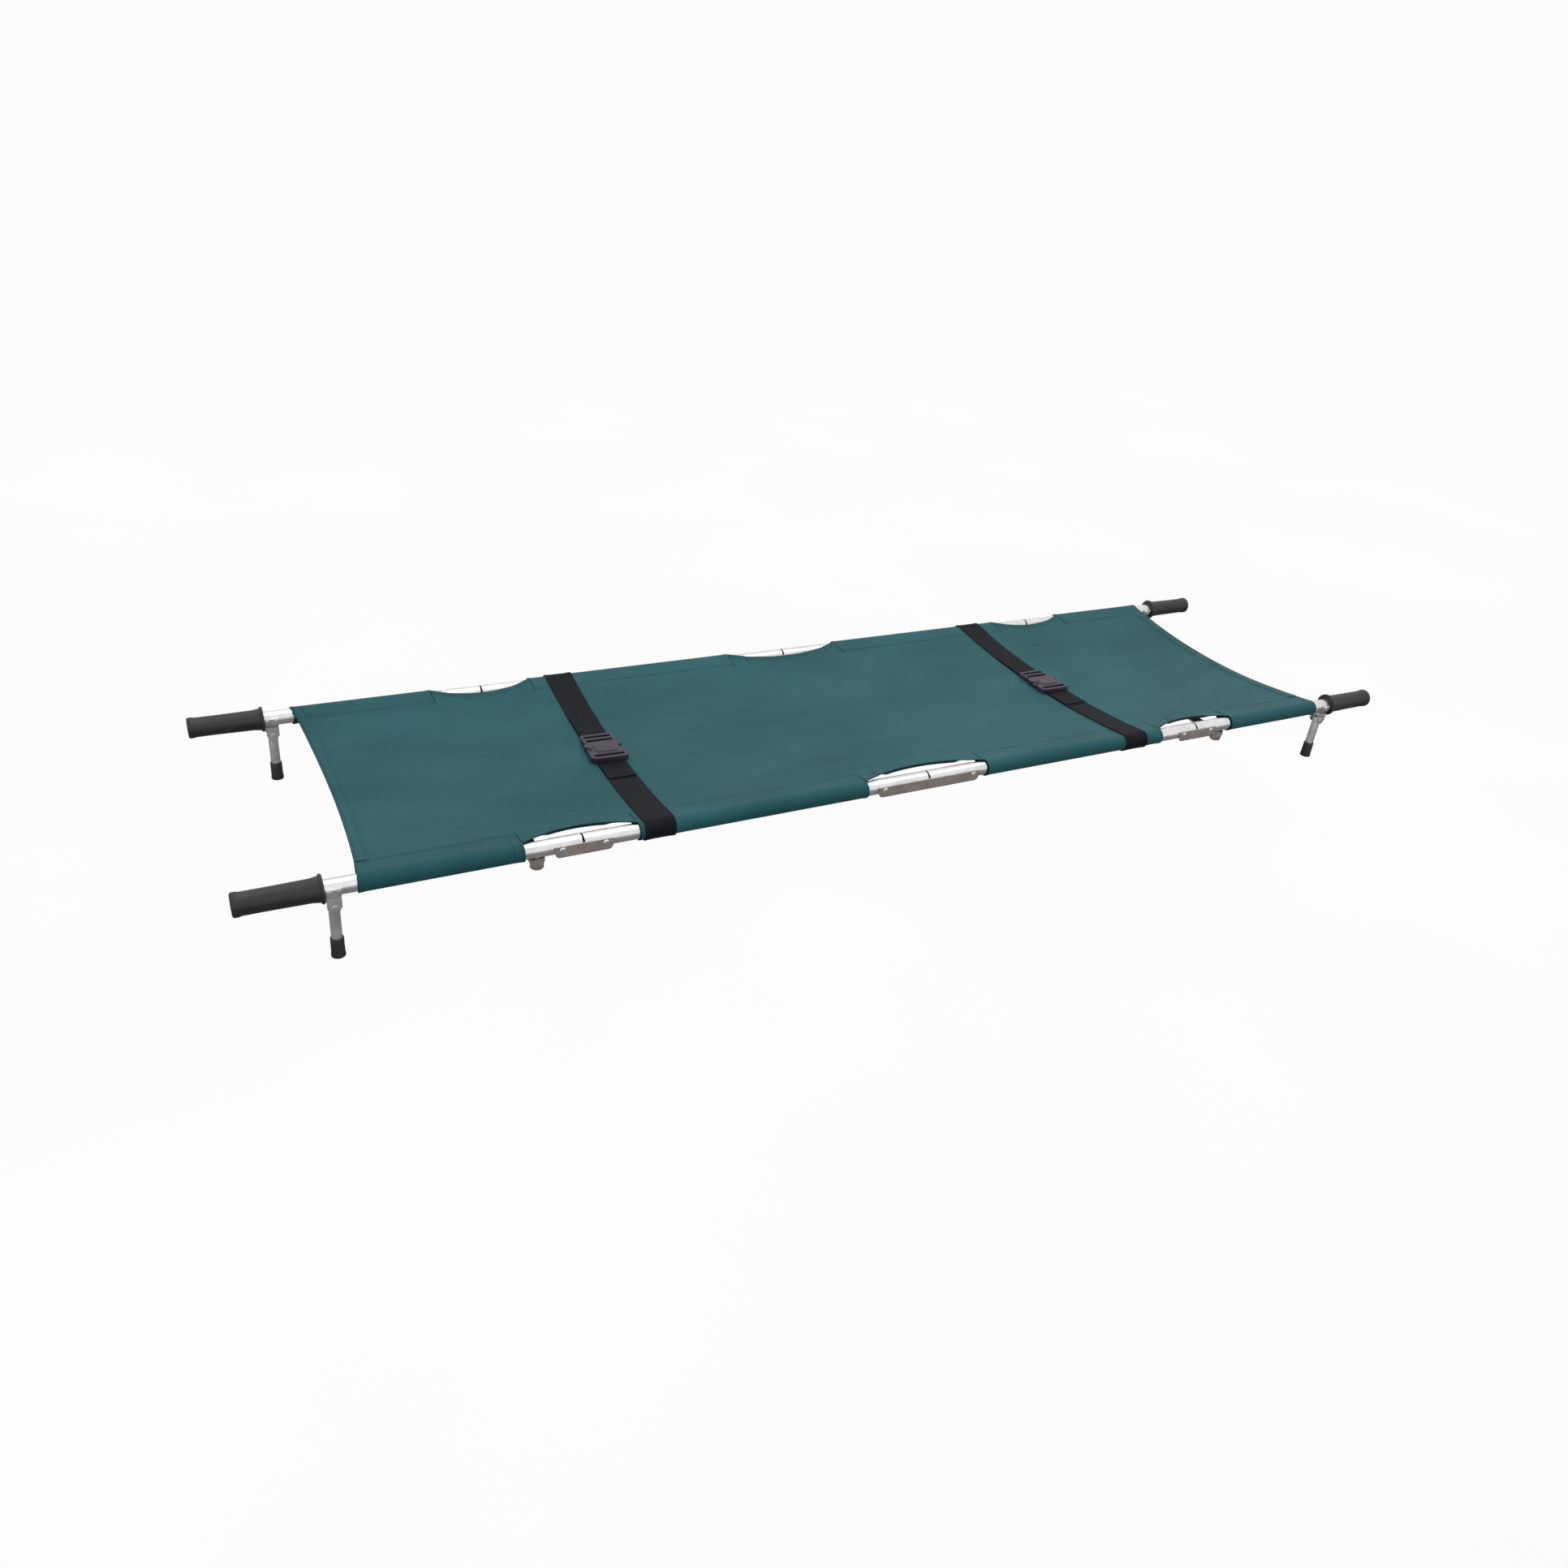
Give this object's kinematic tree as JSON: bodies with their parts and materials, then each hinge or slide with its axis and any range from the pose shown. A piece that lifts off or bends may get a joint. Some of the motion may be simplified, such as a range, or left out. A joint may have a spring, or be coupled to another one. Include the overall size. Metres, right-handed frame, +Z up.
{
  "type": "folding cot",
  "caption": "Low folding cot: canvas bed on two jointed aluminium poles with rubber grips, short folding legs, folding spreader bars and buckled straps.",
  "frame": {"origin": "on the floor, midway between the four feet, under the centre of the bed", "axes": "+X along the poles to the right, +Y across the bed to the back, +Z up"},
  "size_m": [2.21, 0.583, 0.1365],
  "materials": {
    "aluminium": "satin anodised",
    "plate": "satin, warm grey",
    "steel": "bright zinc",
    "leg_metal": "grey anodised",
    "rubber": "matt moulded rubber",
    "canvas": "teal green coated oxford cloth",
    "webbing": "near-black flat webbing",
    "buckle": "satin moulded plastic"
  },
  "bodies": {
    "front_middle_link": {"channel_front_middle": "plate", "pin_middle_front_left": "steel", "pin_middle_front_right": "steel"},
    "front_inner_left": {"tube_inner_front_left": "aluminium", "canvas_inner_left": "canvas", "strap_left": "webbing"},
    "front_left_link": {"channel_front_left": "plate", "pin_inner_front_left": "steel", "pin_outer_front_left": "steel"},
    "front_outer_left": {"tube_outer_front_left": "aluminium", "grip_front_left": "rubber", "leg_bracket_front_left": "leg_metal", "bolt_front_left": "plate", "canvas_outer_left": "canvas"},
    "leg_front_left": {"leg_front_left": "leg_metal", "foot_front_left": "rubber"},
    "front_inner_right": {"tube_inner_front_right": "aluminium", "canvas_inner_right": "canvas", "strap_right": "webbing"},
    "front_right_link": {"channel_front_right": "plate", "pin_inner_front_right": "steel", "pin_outer_front_right": "steel"},
    "front_outer_right": {"tube_outer_front_right": "aluminium", "grip_front_right": "rubber", "leg_bracket_front_right": "leg_metal", "bolt_front_right": "plate", "canvas_outer_right": "canvas"},
    "leg_front_right": {"leg_front_right": "leg_metal", "foot_front_right": "rubber"},
    "back_middle_link": {"channel_back_middle": "plate", "pin_middle_back_left": "steel", "pin_middle_back_right": "steel"},
    "back_inner_left": {"tube_inner_back_left": "aluminium"},
    "back_left_link": {"channel_back_left": "plate", "pin_inner_back_left": "steel", "pin_outer_back_left": "steel"},
    "back_outer_left": {"tube_outer_back_left": "aluminium", "grip_back_left": "rubber", "leg_bracket_back_left": "leg_metal", "bolt_back_left": "plate"},
    "leg_back_left": {"leg_back_left": "leg_metal", "foot_back_left": "rubber"},
    "back_inner_right": {"tube_inner_back_right": "aluminium"},
    "back_right_link": {"channel_back_right": "plate", "pin_inner_back_right": "steel", "pin_outer_back_right": "steel"},
    "back_outer_right": {"tube_outer_back_right": "aluminium", "grip_back_right": "rubber", "leg_bracket_back_right": "leg_metal", "bolt_back_right": "plate"},
    "leg_back_right": {"leg_back_right": "leg_metal", "foot_back_right": "rubber"},
    "spreader_left_front": {"spreader_left_front": "plate", "spreader_pin_left": "steel"},
    "spreader_left_back": {"spreader_left_back": "plate"},
    "buckle_left": {"buckle_left": "buckle"},
    "spreader_right_front": {"spreader_right_front": "plate", "spreader_pin_right": "steel"},
    "spreader_right_back": {"spreader_right_back": "plate"},
    "buckle_right": {"buckle_right": "buckle"}
  },
  "joints": [
    {"name": "middle_fold", "type": "hinge", "parent": "front_middle_link", "child": "front_inner_right", "pos_m": [0.09, -0.27, 0.115], "axis": [0, 1, 0], "range_deg": [0, 87]},
    {"name": "middle_fold_front_left", "type": "hinge", "parent": "front_middle_link", "child": "front_inner_left", "pos_m": [-0.09, -0.27, 0.115], "axis": [0, -1, 0], "range_deg": [0, 87]},
    {"name": "middle_fold_back_left", "type": "hinge", "parent": "back_inner_left", "child": "back_middle_link", "pos_m": [-0.09, 0.27, 0.115], "axis": [0, 1, 0], "range_deg": [0, 87]},
    {"name": "middle_fold_back_right", "type": "hinge", "parent": "back_middle_link", "child": "back_inner_right", "pos_m": [0.09, 0.27, 0.115], "axis": [0, 1, 0], "range_deg": [0, 87]},
    {"name": "left_fold", "type": "hinge", "parent": "front_inner_left", "child": "front_left_link", "pos_m": [-0.584, -0.27, 0.115], "axis": [0, -1, 0], "range_deg": [0, 90]},
    {"name": "left_fold_front_outer", "type": "hinge", "parent": "front_left_link", "child": "front_outer_left", "pos_m": [-0.652, -0.27, 0.115], "axis": [0, -1, 0], "range_deg": [0, 90]},
    {"name": "left_fold_back_outer", "type": "hinge", "parent": "back_outer_left", "child": "back_left_link", "pos_m": [-0.652, 0.27, 0.115], "axis": [0, 1, 0], "range_deg": [0, 90]},
    {"name": "left_fold_back_inner", "type": "hinge", "parent": "back_left_link", "child": "back_inner_left", "pos_m": [-0.584, 0.27, 0.115], "axis": [0, 1, 0], "range_deg": [0, 90]},
    {"name": "left_fold_front_leg", "type": "hinge", "parent": "front_outer_left", "child": "leg_front_left", "pos_m": [-0.976, -0.27, 0.085], "axis": [0, -1, 0], "range_deg": [0, 90]},
    {"name": "left_fold_back_leg", "type": "hinge", "parent": "back_outer_left", "child": "leg_back_left", "pos_m": [-0.976, 0.27, 0.085], "axis": [0, -1, 0], "range_deg": [0, 90]},
    {"name": "right_fold", "type": "hinge", "parent": "front_inner_right", "child": "front_right_link", "pos_m": [0.584, -0.27, 0.115], "axis": [0, 1, 0], "range_deg": [0, 90]},
    {"name": "right_fold_front_outer", "type": "hinge", "parent": "front_right_link", "child": "front_outer_right", "pos_m": [0.652, -0.27, 0.115], "axis": [0, 1, 0], "range_deg": [0, 90]},
    {"name": "right_fold_back_inner", "type": "hinge", "parent": "back_inner_right", "child": "back_right_link", "pos_m": [0.584, 0.27, 0.115], "axis": [0, 1, 0], "range_deg": [0, 90]},
    {"name": "right_fold_back_outer", "type": "hinge", "parent": "back_right_link", "child": "back_outer_right", "pos_m": [0.652, 0.27, 0.115], "axis": [0, 1, 0], "range_deg": [0, 90]},
    {"name": "right_fold_front_leg", "type": "hinge", "parent": "front_outer_right", "child": "leg_front_right", "pos_m": [0.976, -0.27, 0.085], "axis": [0, 1, 0], "range_deg": [0, 90]},
    {"name": "right_fold_back_leg", "type": "hinge", "parent": "back_outer_right", "child": "leg_back_right", "pos_m": [0.976, 0.27, 0.085], "axis": [0, 1, 0], "range_deg": [0, 90]},
    {"name": "width_fold", "type": "hinge", "parent": "front_outer_left", "child": "spreader_left_front", "pos_m": [-0.687, -0.27, 0.115], "axis": [0, 0, 1], "range_deg": [0, 80], "deforming": ["canvas_outer_left", "canvas_outer_right", "canvas_inner_left", "canvas_inner_right", "strap_left", "strap_right"]},
    {"name": "width_fold_left_middle", "type": "hinge", "parent": "spreader_left_front", "child": "spreader_left_back", "pos_m": [-0.687, 0, 0.115], "axis": [0, 0, -1], "range_deg": [0, 160]},
    {"name": "width_fold_left_back", "type": "hinge", "parent": "spreader_left_back", "child": "back_outer_left", "pos_m": [-0.687, 0.27, 0.115], "axis": [0, 0, 1], "range_deg": [0, 80]},
    {"name": "width_fold_right_front", "type": "hinge", "parent": "front_outer_right", "child": "spreader_right_front", "pos_m": [0.687, -0.27, 0.115], "axis": [0, 0, -1], "range_deg": [0, 80]},
    {"name": "width_fold_right_middle", "type": "hinge", "parent": "spreader_right_front", "child": "spreader_right_back", "pos_m": [0.687, 0, 0.115], "axis": [0, 0, 1], "range_deg": [0, 160]},
    {"name": "width_fold_left_buckle", "type": "slide", "parent": "front_inner_left", "child": "buckle_left", "axis": [0, -0.996, 0.0893], "range_m": [0, 0.2245]},
    {"name": "width_fold_right_buckle", "type": "slide", "parent": "front_inner_right", "child": "buckle_right", "axis": [0, -0.996, 0.0893], "range_m": [0, 0.2245]}
  ],
  "couplings": [
    {"joint": "middle_fold_front_left", "follows": "middle_fold", "ratio": 1},
    {"joint": "middle_fold_back_left", "follows": "middle_fold", "ratio": 1},
    {"joint": "middle_fold_back_right", "follows": "middle_fold", "ratio": 1},
    {"joint": "left_fold_front_outer", "follows": "left_fold", "ratio": 1},
    {"joint": "left_fold_back_outer", "follows": "left_fold", "ratio": 1},
    {"joint": "left_fold_back_inner", "follows": "left_fold", "ratio": 1},
    {"joint": "left_fold_front_leg", "follows": "left_fold", "ratio": 1},
    {"joint": "left_fold_back_leg", "follows": "left_fold", "ratio": 1},
    {"joint": "right_fold_front_outer", "follows": "right_fold", "ratio": 1},
    {"joint": "right_fold_back_inner", "follows": "right_fold", "ratio": 1},
    {"joint": "right_fold_back_outer", "follows": "right_fold", "ratio": 1},
    {"joint": "right_fold_front_leg", "follows": "right_fold", "ratio": 1},
    {"joint": "right_fold_back_leg", "follows": "right_fold", "ratio": 1},
    {"joint": "width_fold_left_middle", "follows": "width_fold", "ratio": 2},
    {"joint": "width_fold_left_back", "follows": "width_fold", "ratio": 1},
    {"joint": "width_fold_right_front", "follows": "width_fold", "ratio": 1},
    {"joint": "width_fold_right_middle", "follows": "width_fold", "ratio": 2},
    {"joint": "width_fold_left_buckle", "follows": "width_fold", "m_per_rad": 0.16044},
    {"joint": "width_fold_right_buckle", "follows": "width_fold", "m_per_rad": 0.16044}
  ]
}
